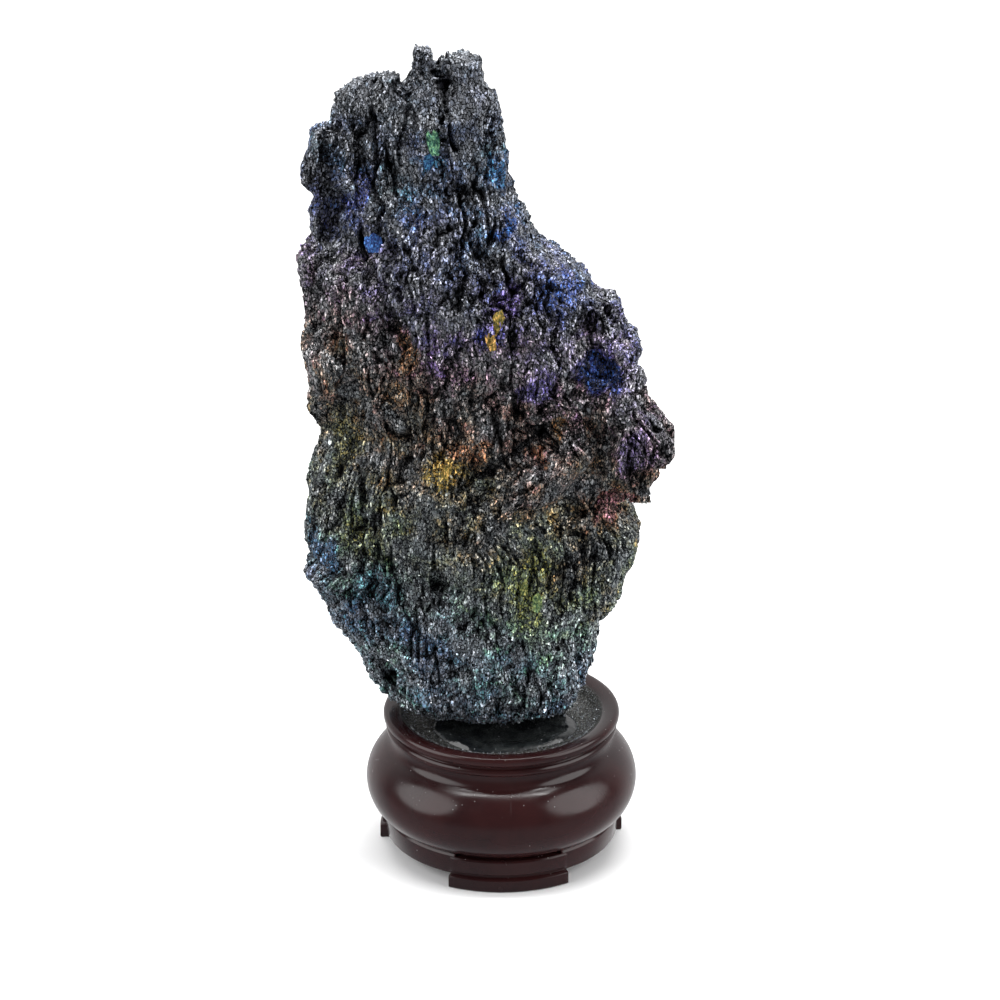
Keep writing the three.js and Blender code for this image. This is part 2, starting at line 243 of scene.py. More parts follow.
def newMaterial(name):
    material = bpy.data.materials.new(name)
    material.use_nodes = True
    tree = material.node_tree
    tree.nodes.clear()
    shader = addNode(tree, "ShaderNodeBsdfPrincipled")
    addNode(tree, "ShaderNodeOutputMaterial", {0: shader.outputs[0]})
    place = addNode(tree, "ShaderNodeTexCoord").outputs["Object"]
    return material, tree, shader, place


def colour(red, green, blue):
    return (red, green, blue, 1.0)


# Film colours. A thin film on the crystal takes its colour from its thickness, which changes in
# slanting bands from the foot to the crown. Heights are in mm.

filmLook = {
    "slant": 0.4,  # how far a band rises across the face
    "start": 0.17,  # the place on the spectrum at the foot
    "steps": [(50, 68, 0.23), (68, 92, 0.12), (92, 114, 0.16), (114, 130, 0.2), (130, 150, 0.2)],
    "wander": (130, 3, 14 * mm),  # noise scale and detail, and how far the bands wander
    "swirls": [(75, 0.45), (380, 0.35)],  # noise scale and change along the spectrum
    "cloud": (190, 3, 0.6),  # noise scale, detail and roughness
    "cloudRange": (0.38, 0.72),
    "strength": (0.05, 0.52),
    "fades": [(160, 178, 1.0, 0.3), (31, 37, 0.15, 1.0)],  # the pale crown and the grey foot
    "lifts": [(46, 78, 1.75, 1.0), (138, 162, 1.0, 0.84)],  # painted light: the foot is made lighter, as by light from below, and the crown darker
    "patchEdge": (0.5, 1.3),
    "frontFace": (-2 * mm, 4 * mm),
    "grainRange": (0.25, 0.8),
    "grainStrength": (0.35, 1.7),
    "speck": 0.14,
}

# Patches on the broad face: place from the stand's axis, height, half width and half height in mm,
# place on the spectrum and strength
filmPatches = [
    (-11.5, 95.5, 5, 4, 0.53, 0.8),
    (-6, 100, 4, 3, 0.64, 0.65),
    (5.8, 68.5, 4, 11, 0.44, 0.65),
    (23.3, 85, 3.6, 4.6, 0.71, 0.75),
    (-38.5, 75, 3.6, 5, 0.13, 0.5),
    (-26, 70, 5, 6, 0.2, 0.5),
    (-31, 81, 6, 5, 0.44, 0.55),
    (-33, 100, 4, 9, 0.47, 0.5),
    (-22, 113, 4, 4.5, 0.6, 0.5),
    (-19.5, 123, 2.6, 4.5, 0.62, 0.55),
    (-13, 121.5, 1.8, 2.6, 0.84, 0.7),
    (7.2, 100, 2.4, 2.4, 0.66, 0.8),
    (28.5, 99, 5, 6, 0.85, 0.5),
    (12.5, 106, 3, 2.6, 0.6, 0.6),
    (8.5, 114, 4, 6, 0.91, 0.6),
    (20.4, 115, 3.6, 5.4, 1.04, 0.75),
    (10, 133.5, 5.4, 4.2, 1.03, 0.6),
    (0, 131.5, 3.2, 3.4, 0.9, 0.85),
    (-3.4, 126, 2.4, 4, 0.97, 0.75),
    (-30.5, 155, 2.6, 4, 0.99, 0.6),
    (0, 158, 2.6, 4.5, 1.12, 0.75),
    (0.8, 147, 2.4, 3, 1.06, 0.85),
    (-15.2, 161, 2.0, 2.8, 1.16, 0.75),
]

# Tints for the crystal's grey along the spectrum, of much the same brightness
filmSpectrum = [
    (0.00, (0.32, 0.34, 1.20)),
    (0.10, (0.20, 0.48, 1.25)),
    (0.21, (0.28, 0.86, 1.15)),
    (0.33, (0.50, 1.22, 0.70)),
    (0.45, (0.98, 1.12, 0.40)),
    (0.56, (1.55, 1.00, 0.24)),
    (0.67, (1.80, 0.80, 0.36)),
    (0.77, (1.50, 0.68, 0.84)),
    (0.87, (0.96, 0.62, 1.30)),
    (1.00, (0.32, 0.34, 1.20)),
]


def buildFilmGroup(look, patches, spectrum):
    group, given, result = newGroup(
        "filmColours",
        [("Place", "NodeSocketVector", None), ("Grain", "NodeSocketFloat", 0.5),
         ("OwnFilm", "NodeSocketFloat", 0.0), ("OwnShare", "NodeSocketFloat", 0.0)],
        [("Tint", "NodeSocketColor")],
    )
    place, grain, ownFilm, ownShare = list(given.outputs)[:4]
    fromAxis = vectorNode(group, "SUBTRACT", place, tuple(standCentre))
    warped = vectorNode(group, "ADD", fromAxis, wanderNode(group, place, *look["wander"]))
    across, depth, height = splitVector(group, warped)
    band = mathNode(group, "MULTIPLY_ADD", across, look["slant"], height)
    film = look["start"]
    for low, high, change in look["steps"]:
        step = mapRange(group, band, low * mm, high * mm, 0.0, change, smooth=False)
        film = mathNode(group, "ADD", film, step)
    for scale, change in look["swirls"]:
        swirl = mathNode(group, "SUBTRACT", noiseNode(group, place, scale, 2, 0.5), 0.5)
        film = mathNode(group, "MULTIPLY_ADD", swirl, change, film)
    cloud = noiseNode(group, place, *look["cloud"])
    strength = mapRange(group, cloud, *look["cloudRange"], *look["strength"])
    for low, high, below, above in look["fades"]:
        fade = mapRange(group, height, low * mm, high * mm, below, above)
        strength = mathNode(group, "MULTIPLY", strength, fade)
    for x, z, halfWidth, halfHeight, patchFilm, patchStrength in patches:
        shrink = (1 / (halfWidth * mm), 0, 1 / (halfHeight * mm))
        away = vectorNode(group, "SUBTRACT", warped, (x * mm, 0, z * mm))
        away = vectorNode(group, "LENGTH", vectorNode(group, "MULTIPLY", away, shrink), output=1)
        near = mapRange(group, away, *look["patchEdge"], 1.0, 0.0)
        near = mathNode(group, "MULTIPLY", near, mapRange(group, depth, *look["frontFace"], 1.0, 0.0))
        film = mixValue(group, near, film, patchFilm)
        strength = mixValue(group, near, strength, patchStrength)
    grainStrength = mapRange(group, grain, *look["grainRange"], *look["grainStrength"])
    strength = mathNode(group, "MULTIPLY", strength, grainStrength)
    film = mixValue(group, ownShare, film, ownFilm)
    strength = mixValue(group, ownShare, strength, 1.0)
    film = mathNode(group, "MULTIPLY_ADD", mathNode(group, "SUBTRACT", grain, 0.5), look["speck"], film)
    film = mathNode(group, "WRAP", film, 1.0, 0.0)
    ramp = addNode(group, "ShaderNodeValToRGB", {0: film})
    while len(ramp.color_ramp.elements) < len(spectrum):
        ramp.color_ramp.elements.new(0.5)
    for element, (position, shade) in zip(ramp.color_ramp.elements, spectrum):
        element.position = position
        element.color = colour(*shade)
    tint = mixColour(group, strength, colour(1, 1, 1), ramp.outputs[0])
    # Painted light: the colour is made lighter at the foot, as by light from below, and darker at the crown
    for low, high, below, above in look["lifts"]:
        tint = scaleVector(group, tint, mapRange(group, height, low * mm, high * mm, below, above))
    feed(group, result, {"Tint": tint})
    return group


facetPlan = {
    "bend": (1300, 2, 0.7 * mm),  # noise scale and detail, and how far the cells bend
    "cellSquash": 0.5,  # cells and fibres are drawn out upwards
    "fibreSquash": 0.42,
    "fibre": (2700, 2, 0.75),
    "fibreRange": (0.41, 0.6),
    "borderRange": (0.04, 0.16),
}


def buildFacetGroup(plan):
    # Every small cell of the surface is a flat facet that looks its own way, and its border is a mask for
    # painted shade between the cells
    group, given, result = newGroup(
        "crystalFacets",
        [("Place", "NodeSocketVector", None), ("Size", "NodeSocketFloat", 1800.0),
         ("Tilt", "NodeSocketFloat", 0.5)],
        [("Normal", "NodeSocketVector"), ("Cell", "NodeSocketFloat"), ("Border", "NodeSocketFloat"),
         ("Fibre", "NodeSocketFloat")],
    )
    place = given.outputs["Place"]
    bent = vectorNode(group, "ADD", place, wanderNode(group, place, *plan["bend"]))
    stretched = vectorNode(group, "MULTIPLY", bent, (1.0, 1.0, plan["cellSquash"]))
    sockets = {"Vector": stretched, "Scale": given.outputs["Size"]}
    cells = addNode(group, "ShaderNodeTexVoronoi", sockets)
    edges = addNode(group, "ShaderNodeTexVoronoi", sockets, feature="DISTANCE_TO_EDGE")
    lean = vectorNode(group, "SUBTRACT", cells.outputs["Color"], (0.5, 0.5, 0.5))
    lean = scaleVector(group, lean, given.outputs["Tilt"])
    surface = addNode(group, "ShaderNodeNewGeometry").outputs["Normal"]
    parts = addNode(group, "ShaderNodeSeparateColor", {0: cells.outputs["Color"]})
    strands = vectorNode(group, "MULTIPLY", bent, (1.0, 1.0, plan["fibreSquash"]))
    strands = noiseNode(group, strands, *plan["fibre"])
    feed(group, result, {
        "Normal": vectorNode(group, "NORMALIZE", vectorNode(group, "ADD", surface, lean)),
        "Cell": parts.outputs[0],
        "Border": mapRange(group, edges.outputs["Distance"], *plan["borderRange"], 1.0, 0.0),
        "Fibre": mapRange(group, strands, *plan["fibreRange"]),
    })
    return group


filmGroup = buildFilmGroup(filmLook, filmPatches, filmSpectrum)
facetGroup = buildFacetGroup(facetPlan)

# On the calm slabs the facets lean less, have a more even tone and are duller
calmLook = {"tiltLoss": 0.5, "toneShare": 0.55, "tone": 0.45, "dullness": 0.22}


def crystalMaterial(name, look):
    material, tree, shader, place = newMaterial(name)
    tone, cavity, calm = (attributeNode(tree, each) for each in ("tone", "cavity", "calm"))
    tilt = look["facetTilt"]
    tilt = mathNode(tree, "MULTIPLY_ADD", calm, -calmLook["tiltLoss"] * tilt, tilt)
    facets = placeGroup(tree, facetGroup, Place=place, Size=look["facetsPerMetre"], Tilt=tilt)
    mottle = mathNode(tree, "MULTIPLY", tone, look["toneShare"])
    mottle = mathNode(tree, "MULTIPLY_ADD", facets.outputs["Cell"], 1 - look["toneShare"], mottle)
    mottle = mixValue(tree, look["fibreShare"], mottle, facets.outputs["Fibre"])
    calmShare = mathNode(tree, "MULTIPLY", calm, calmLook["toneShare"])
    mottle = mixValue(tree, calmShare, mottle, calmLook["tone"])
    film = placeGroup(tree, filmGroup, Place=place, Grain=mottle, OwnFilm=attributeNode(tree, "ownFilm"),
                      OwnShare=attributeNode(tree, "ownShare"))
    light = mathNode(tree, "POWER", mottle, look["contrast"])
    grey = mixColour(tree, light, look["darkGrey"], look["lightGrey"])
    body = mixColour(tree, 1.0, grey, film.outputs["Tint"], "MULTIPLY")
    # Painted shade: the borders between facets, and the gaps, pits and creases, are darkened towards the
    # gap colour
    border = mathNode(tree, "MULTIPLY", facets.outputs["Border"], look["borderShade"])
    depth = mathNode(tree, "MULTIPLY_ADD", cavity, look["cavityShade"], border, clamp=True)
    rough = mathNode(tree, "MULTIPLY_ADD", mottle, look["roughSpread"], look["roughLow"])
    rough = mathNode(tree, "MULTIPLY_ADD", calm, calmLook["dullness"], rough)
    feed(tree, shader, {
        "Base Color": mixColour(tree, depth, body, look["paintedGapShade"]),
        "Roughness": mathNode(tree, "MULTIPLY_ADD", depth, look["gapRough"], rough, clamp=True),
        "Normal": facets.outputs["Normal"],
        "Metallic": look["metallic"],
    })
    return material


# Drawing with a pen of one point: an outline is extruded point by point

def drawOutline(name, points):
    deselectAll()
    bpy.ops.mesh.primitive_plane_add(size=1 * mm, location=(0, 0, 0))
    piece = bpy.context.active_object
    piece.name = name
    piece.data.name = name
    openMesh(piece)
    bpy.ops.mesh.merge(type="CENTER")
    here = Vector(points[0]) * mm
    bpy.ops.transform.translate(value=here)
    for point in points[1:]:
        there = Vector(point) * mm
        bpy.ops.mesh.extrude_region_move(TRANSFORM_OT_translate={"value": there - here})
        here = there
    bpy.ops.object.mode_set(mode="OBJECT")
    return piece


# The rock: the solid's form with its fibrous columns, gaps and pits worked into the skin.
# Cuts are outlines on the broad face (x from the stand's axis, height), sawn from front to back.

rockCuts = [
    {"name": "crownNotch", "front": -20, "back": 20,
     "outline": [(-14.7, 188), (-14.6, 183), (-14.1, 180), (-12.9, 176.8), (-11.9, 180), (-11.2, 183),
                 (-11.0, 188)]},
    {"name": "crownShoulder", "front": -20, "back": 20,
     "outline": [(-5.4, 188), (-4.4, 182.6), (-3.4, 179.6), (-2.4, 177.4), (0.6, 174.4),
                 (4, 174.4), (4, 188)]},
]

# Creases are splits cut into the broad face, with painted shade in them: a path of places, the half width
# and the depth in mm
rockCreases = [
    ([(-13.2, 181), (-12.2, 178), (-11.6, 174), (-11, 170.5), (-9.6, 166.8), (-8.4, 164)], 0.55, 2.8),
    ([(-18.8, 181.8), (-16.6, 180), (-15, 178.6)], 0.5, 1.6),
    ([(-36.4, 167), (-36.2, 158), (-37, 148)], 0.4, 1.5),
    ([(-30.6, 169), (-30.2, 163)], 0.45, 1.8),
    ([(-26.4, 172), (-25.8, 160), (-26.2, 150)], 0.45, 2.0),
    ([(-23.8, 164), (-22.4, 158), (-21.6, 155)], 0.4, 1.6),
    ([(-19.4, 176), (-19.8, 168), (-20.6, 161)], 0.4, 1.5),
    ([(-29.6, 147), (-29.4, 142)], 0.8, 2.2),
    ([(-7.4, 156), (-7.2, 142), (-8.4, 132)], 0.45, 1.8),
    ([(-1.6, 170), (-1.4, 158)], 0.4, 1.6),
    ([(-34, 134), (-33, 120), (-34, 108)], 0.45, 1.6),
    ([(-24.4, 120), (-24, 106), (-25, 96)], 0.4, 1.4),
    ([(-15.4, 132), (-15, 116)], 0.45, 1.5),
    ([(2.6, 128), (2, 116), (3, 104)], 0.45, 1.6),
    ([(12, 130), (11.4, 118)], 0.5, 1.7),
    ([(-8, 92), (-3, 95.5), (3, 99.5), (8.5, 104)], 0.7, 1.8),
    ([(18.8, 107), (17.2, 99)], 0.7, 1.5),
    ([(-14.2, 80), (-9, 81.5), (-5.4, 78), (-5.8, 73), (-11, 71.5), (-14.4, 74), (-14.2, 80)], 0.45, 1.4),
    ([(9.4, 96), (9, 82)], 0.45, 1.5),
    ([(-30, 92), (-29.4, 76)], 0.45, 1.4),
    ([(14, 80), (13.4, 62)], 0.5, 1.6),
]

# Slabs are calmer and flatter than the rest: centre, half width, half height and how flat
rockSlabs = [
    (-7.4, 170, 4.4, 12, 0.75),
    (-19, 161.5, 2.6, 4, 0.75),
    (-15.5, 175, 2.8, 7, 0.6),
    (12.5, 95, 4.4, 3.6, 0.6),
    (-30, 176, 3.6, 3, 0.5),
    (-10, 76.5, 3.4, 4, 0.6),
]

# How far the left and right edges stand out (mm, inwards below zero) at each height
rockNudges = {
    "left": [(43, -0.8), (46, -1.2), (50, -0.7), (53, 0), (64, 0), (66.7, 0.6), (68.3, -0.6), (70, -2.4),
             (73, 0), (81, 0), (84, -0.6), (87, 0), (96, -1.2), (102, -2.6), (105.5, -1.2), (108, -1.2),
             (111.4, -2.3), (115, -1.6), (118.3, -0.8), (121, 0), (136, 0), (139, 0.9), (140.5, 0),
             (142.4, -1.8), (146, -1.2), (149.3, -0.8), (152.5, -2.6), (156.2, 1.0), (159.7, 0.6), (162, 0),
             (171, 0), (173.5, 1.0), (175.4, 0), (177, -1.2), (179, 0)],
    "right": [(36, 0), (42.5, 0.8), (46, 0), (49.4, -0.6), (53, -1), (56.3, -1.4), (60, -0.2), (66.7, -0.8),
              (70, 0), (77, 0), (79.5, -2.4), (83, -4.4), (86, -4.4), (89, -2.2), (92, -0.6), (97.7, 0.9),
              (101, 1.0), (104.6, -1.4), (108, -3.6), (111.5, -3.6), (114.5, -1), (118.3, 0.8), (122, 0),
              (125.2, -0.6), (128.7, 0.7), (132.1, -0.9), (135.5, 0.8), (139, 0.5), (142.4, -1), (148, 0),
              (152.8, -1), (156.2, -1.2), (159.7, -0.5), (163, -1.3), (166.5, -1.3), (170.5, 0),
              (173.4, 0.8), (175, 0), (177, -1.3), (180.3, -0.8), (183, 0)],
}

# The front of the foot is lifted off the dish in lobes: place across the foot and lift in mm
footLift = {
    "below": 36,
    "lifts": [(-18, 2.0), (-14, 1.8), (-11, 3.3), (-6, 2.6), (3, 2.4), (8, 3.2), (13, 3.8)],
}

rockPlan = {
    "seed": 5,
    "voxel": 0.4 * mm,
    "parts": 3,
    "smoothRounds": 3,
    "columnWidth": 2.6,
    "columnLength": 18.0,
    "gapDepth": 1.45,
    "strandWidth": 1.2,
    "strandLength": 5.4,
    "strandDepth": 0.75,
    "columnStep": 0.5,
    "patchSize": 13.0,
    "pitSpacing": 7.5,
    "pitDepth": 1.8,
    "pitChance": 0.2,
    "gapWidth": 0.22,  # these three are shares of a cell
    "strandGapWidth": 0.3,
    "pitWidth": 0.24,
    "wanderSize": 7,
    "wander": 1.1,
    "crustContrast": 1.5,
    "crustFill": 0.62,  # how far crust fills the gaps between columns
    "strandFill": 0.4,
    "crustSwell": 0.3,
    "gapShade": 0.72,  # how dark the painted shade in gaps between columns and between strands is
    "strandGapShade": 0.5,
    "growth": (0.42, 0.58),  # crystals on the bare skin, and how many more on the crust
    "swell": 0.15,
    "outermost": 0.75,
}


def cellEdges(point, width, length):
    # Distance to the nearest gap between upright cells, and a steady random value for the cell
    place = Vector((point.x / width, point.y / width, point.z / length))
    distances, centres = noise.voronoi(place, distance_metric="DISTANCE", exponent=2.5)
    return distances[1] - distances[0], noise.noise(centres[0] * 5.7)


def crustAt(point, plan):
    # How the skin lies at a place in mm: its height, how deep in a gap or pit it is, which sets its painted
    # shade, and how crusted
    patch = noise.fractal(point / plan["patchSize"] + Vector((3, 8, 1)), 0.6, 2.0, 3)
    crust = min(1, max(0, 0.5 + plan["crustContrast"] * patch))
    wander = noise.noise_vector(point / plan["wanderSize"]) * plan["wander"]
    wander.z *= 2
    column, rank = cellEdges(point + wander, plan["columnWidth"], plan["columnLength"])
    strand, strandRank = cellEdges(point + wander * 0.5, plan["strandWidth"], plan["strandLength"])
    openness = 1 - plan["crustFill"] * crust
    gap = max(0, 1 - column / plan["gapWidth"]) ** 1.2
    split = max(0, 1 - strand / plan["strandGapWidth"])
    pitPlace = Vector((point.x, point.y, point.z * 0.5)) / plan["pitSpacing"]
    distances, centres = noise.voronoi(pitPlace, distance_metric="DISTANCE", exponent=2.5)
    chosen = noise.noise(centres[0] * 4.3) > plan["pitChance"]
    pit = max(0, 1 - distances[0] / plan["pitWidth"]) if chosen else 0
    height = -plan["gapDepth"] * gap * openness
    height -= plan["strandDepth"] * split * (1 - plan["strandFill"] * crust)
    height -= plan["pitDepth"] * pit ** 0.7
    height += plan["columnStep"] * (rank + 0.5 * strandRank) + plan["swell"]
    height += plan["crustSwell"] * crust
    # Painted shade: the gaps, splits and pits are darkened by this value
    cavity = plan["gapShade"] * gap * openness + plan["strandGapShade"] * split * openness + pit
    return min(height, plan["outermost"]), min(1, cavity), crust


def sawCut(rock, cut):
    # The outline, drawn in front of the rock, is pushed back through it and taken away
    points = [(x + axisX / mm, axisY / mm + cut["front"], z) for x, z in cut["outline"]]
    saw = drawOutline(cut["name"], points)
    openMesh(saw)
    bpy.ops.mesh.edge_face_add()
    thickness = (cut["back"] - cut["front"]) * mm
    bpy.ops.mesh.extrude_region_move(TRANSFORM_OT_translate={"value": (0, thickness, 0)})
    closeMesh()
    applyModifier(rock, "BOOLEAN", operation="DIFFERENCE", object=saw, solver="EXACT")
    bpy.data.objects.remove(saw, do_unlink=True)


def creaseDepths(places, normals, creases):
    # How deep each place on the broad face lies in the listed creases
    flat = places[:, [0, 2]]
    facing = np.clip(-normals[:, 1] * 2.5, 0, 1) * (places[:, 1] < 0)
    depths = np.zeros(len(places))
    for route, halfWidth, depth in creases:
        path = np.array(route, dtype=float)
        nearest = np.full(len(places), np.inf)
        for start, end in zip(path[:-1], path[1:]):
            along = end - start
            share = np.clip((flat - start) @ along / (along @ along), 0, 1)
            gap = np.linalg.norm(flat - start - share[:, None] * along, axis=1)
            nearest = np.minimum(nearest, gap)
        inside = np.clip(1 - nearest / halfWidth, 0, 1)
        depths = np.maximum(depths, depth * inside ** 0.6)
    return depths * facing


def slabFlatness(places, slabs):
    # How far the columns fade out at each place on the broad face
    flat = np.zeros(len(places))
    for x, z, halfWidth, halfHeight, flatness in slabs:
        away = np.hypot((places[:, 0] - x) / halfWidth, (places[:, 2] - z) / halfHeight)
        inside = np.clip((1.25 - away) / 0.5, 0, 1) * (places[:, 1] < 0)
        flat = np.maximum(flat, flatness * inside)
    return flat


def nudgeEdges(points, places, normals, nudges):
    # The outline that is seen from the front is brought to its place, in and out along the width
    for side, name in ((-1, "left"), (1, "right")):
        heights, pushes = np.array(nudges[name]).T
        facing = np.clip(side * normals[:, 0] * 1.6, 0, 1)
        points[:, 0] += side * facing * np.interp(places[:, 2], heights, pushes) * mm


def liftFoot(points, places, plan):
    low = np.clip((plan["below"] - places[:, 2]) / 5, 0, 1)
    front = np.clip(-places[:, 1] / 6, 0, 1)
    across, lifts = np.array(plan["lifts"]).T
    points[:, 2] += low * front * np.interp(places[:, 0], across, lifts) * mm


def partRock(rock, count, capDepth=4 * mm):
    # One mesh of this fineness is too big for a piece, so it is sliced level into parts with about as
    # many points each, and each is closed. It keeps the whole rock's normals, so that no seam shows.
    heights = readPoints(rock.data)[:, 2]
    levels = [float(level) for level in np.quantile(heights, np.linspace(0, 1, count + 1)[1:-1])]
    skin = rock.data.attributes.new("skinNormal", "FLOAT_VECTOR", "POINT")
    skin.data.foreach_set("vector", readNormals(rock.data).astype(np.float32).ravel())
    parts = []
    for index in range(count):
        part = bpy.data.objects.new(f"rockPart{index + 1}", rock.data.copy())
        bpy.context.collection.objects.link(part)
        makeActive(part)
        bpy.ops.object.mode_set(mode="EDIT")
        for level, above in ((index - 1, False), (index, True)):
            if 0 <= level < len(levels):
                bpy.ops.mesh.select_all(action="SELECT")
                bpy.ops.mesh.bisect(plane_co=(0, 0, levels[level]), plane_no=(0, 0, 1),
                                    clear_inner=not above, clear_outer=above)
                inwards = -capDepth if above else capDepth
                bpy.ops.mesh.extrude_region_move(TRANSFORM_OT_translate={"value": (0, 0, inwards)})
                bpy.ops.mesh.merge(type="CENTER")
        bpy.ops.object.mode_set(mode="OBJECT")
        skinNormals = readVectors(part.data.attributes["skinNormal"].data, "vector")
        shadeSmooth(part)
        part.data.normals_split_custom_set_from_vertices(skinNormals.tolist())
        parts.append(part)
    return parts


def buildRock(plan):
    # Without a seed the noise that bends the columns would differ from run to run
    noise.seed_set(plan["seed"])
    rock = copyOfNode("carborundum_specimen", "rockBody")
    for cut in rockCuts:
        sawCut(rock, cut)
    applyModifier(rock, "REMESH", mode="VOXEL", voxel_size=plan["voxel"], use_smooth_shade=True)
    applyModifier(rock, "SMOOTH", factor=0.6, iterations=plan["smoothRounds"])
    mesh = rock.data
    points = readPoints(mesh)
    normals = readNormals(mesh)
    heights, cavities, crusts = (np.empty(len(points)) for value in range(3))
    for index, point in enumerate(points):
        place = (Vector(point) - standCentre) / mm
        heights[index], cavities[index], crusts[index] = crustAt(place, plan)
    places = (points - np.array(standCentre)) / mm
    calm = slabFlatness(places, rockSlabs)
    bare, crusted = plan["growth"]
    growth = (bare + crusted * crusts) * (1 - calm)
    heights = plan["swell"] + (heights - plan["swell"]) * (1 - calm)
    cavities *= 1 - calm
    splits = creaseDepths(places, normals, rockCreases)
    heights -= splits
    # The creases also take painted shade
    cavities = np.maximum(cavities, np.clip(splits / 2.0, 0, 1))
    points += normals * heights[:, None] * mm
    nudgeEdges(points, places, normals, rockNudges)
    liftFoot(points, places, footLift)
    low, high = (np.array(corner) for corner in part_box("carborundum_specimen"))
    points = np.clip(points, low, high)
    writePoints(mesh, points)
    for name, values in (("cavity", cavities), ("growth", growth), ("calm", calm)):
        writeValues(mesh, name, values)
    print("rock skin:", len(points), "points,", len(mesh.polygons), "faces")
    return rock


# The crystal crust: small shards and six-sided plates that grow out of the rock's skin

crustPlan = {
    "seed": 41,
    "shardPieces": 4,
    "shardsEach": 19000,
    "platesInAll": 7000,
    "shardLength": (0.32, 0.85),
    "shardWidth": (0.32, 0.62),  # widths and thicknesses are shares of the length
    "shardThickness": (0.22, 0.42),
    "shardSink": 0.08,
    "plateLength": (0.5, 1.5),
    "plateWidth": (0.45, 0.8),
    "plateThickness": 0.14,
    "shardFalloff": 2.2,  # the higher, the more short ones
    "plateFalloff": 3,
    "shardLean": 0.55,
    "plateLean": 0.45,
    "shardShyness": 1.35,  # how far the crystals keep out of the gaps
    "plateShyness": 1.5,
}


def modelShard():
    # A short, uneven four-sided splinter, pointed at both ends
    deselectAll()
    bpy.ops.mesh.primitive_cone_add(vertices=4, radius1=0.5, depth=0.5, end_fill_type="NOTHING",
                                    location=(0, 0, 0.25))
    shard = bpy.context.active_object
    bpy.ops.object.mode_set(mode="EDIT")
    bpy.ops.mesh.select_all(action="DESELECT")
    bpy.ops.object.mode_set(mode="OBJECT")
    for vertex in shard.data.vertices:
        vertex.select = vertex.co.z < 0
    bpy.ops.object.mode_set(mode="EDIT")
    bpy.ops.mesh.extrude_region_move(TRANSFORM_OT_translate={"value": (0.06, 0.02, -0.5)})
    bpy.ops.mesh.merge(type="CENTER")
    closeMesh()
    settle(shard)
    return shard


def modelPlate():
    # A thin six-sided plate that lies flat, with its edges drawn in on the upper side
    deselectAll()
    bpy.ops.mesh.primitive_cylinder_add(vertices=6, radius=0.5, depth=1.0, end_fill_type="NGON")
    plate = bpy.context.active_object
    for vertex in plate.data.vertices:
        vertex.select = vertex.co.z > 0
    bpy.ops.object.mode_set(mode="EDIT")
    bpy.ops.transform.resize(value=(0.86, 0.9, 1.0))
    bpy.ops.object.mode_set(mode="OBJECT")
    settle(plate)
    return plate


def takeShape(model):
    # The model's points and triangles, for copying many times over
    applyModifier(model, "TRIANGULATE")
    points = readPoints(model.data)
    faces = np.array([tuple(polygon.vertices) for polygon in model.data.polygons])
    bpy.data.objects.remove(model, do_unlink=True)
    return points, faces


def sampleSkin(rock, count, shyness, rng):
    # Random places on the rock's skin, fewer in the gaps and more where it is crusted
    mesh = rock.data
    mesh.calc_loop_triangles()
    corners = np.empty(len(mesh.loop_triangles) * 3, dtype=np.int32)
    mesh.loop_triangles.foreach_get("vertices", corners)
    corners = corners.reshape(-1, 3)
    points = readPoints(mesh)
    normals = readNormals(mesh)
    cavity = readValues(mesh, "cavity")
    growth = readValues(mesh, "growth")
    edges = points[corners[:, 1:]] - points[corners[:, :1]]
    areas = np.linalg.norm(np.cross(edges[:, 0], edges[:, 1]), axis=1)
    openness = np.clip(1.05 - shyness * cavity[corners].mean(axis=1), 0.03, 1)
    weight = areas * openness * growth[corners].mean(axis=1)
    chosen = corners[rng.choice(len(corners), size=count, p=weight / weight.sum())]
    share = rng.dirichlet((1, 1, 1), size=count)
    outwards = unit(blend(normals, chosen, share))
    return blend(points, chosen, share), outwards, blend(cavity, chosen, share)


def blend(source, corners, share):
    # The value between three corners, by each corner's share
    return np.einsum("nc,nc...->n...", share, source[corners])


def unit(vectors):
    return vectors / np.maximum(np.linalg.norm(vectors, axis=1), 1e-9)[:, None]


def scatter(name, shape, places, sizes, axes, values, material):
    # One mesh that holds a copy of the shape at each place, turned to its own three axes
    shapePoints, shapeFaces = shape
    local = shapePoints[None, :, :] * sizes[:, None, :]
    points = places[:, None, :] + np.einsum("npk,nkd->npd", local, axes)
    points = np.clip(points, *(np.array(corner) for corner in cadBox))
    firsts = np.arange(len(places)) * len(shapePoints)
    faces = shapeFaces[None, :, :] + firsts[:, None, None]
    mesh = bpy.data.meshes.new(name)
    mesh.from_pydata(points.reshape(-1, 3).tolist(), [], faces.reshape(-1, 3).tolist())
    for valueName, each in values.items():
        writeValues(mesh, valueName, np.repeat(each, len(shapePoints)))
    mesh.materials.append(material)
    piece = bpy.data.objects.new(name, mesh)
    bpy.context.collection.objects.link(piece)
    return piece


def crystalAxes(outwards, lean, uprightness, rng, outwardShare=0.25):
    # Each crystal's own length, width and thickness directions
    count = len(outwards)
    up = np.tile((0.0, 0.0, 1.0), (count, 1)) * uprightness
    along = unit(up + rng.normal(0, lean, (count, 3)) + outwardShare * outwards)
    face = unit(outwards + rng.normal(0, lean, (count, 3)))
    across = unit(np.cross(along, face))
    thick = unit(np.cross(across, along))
    return np.stack([across, thick, along], axis=1)


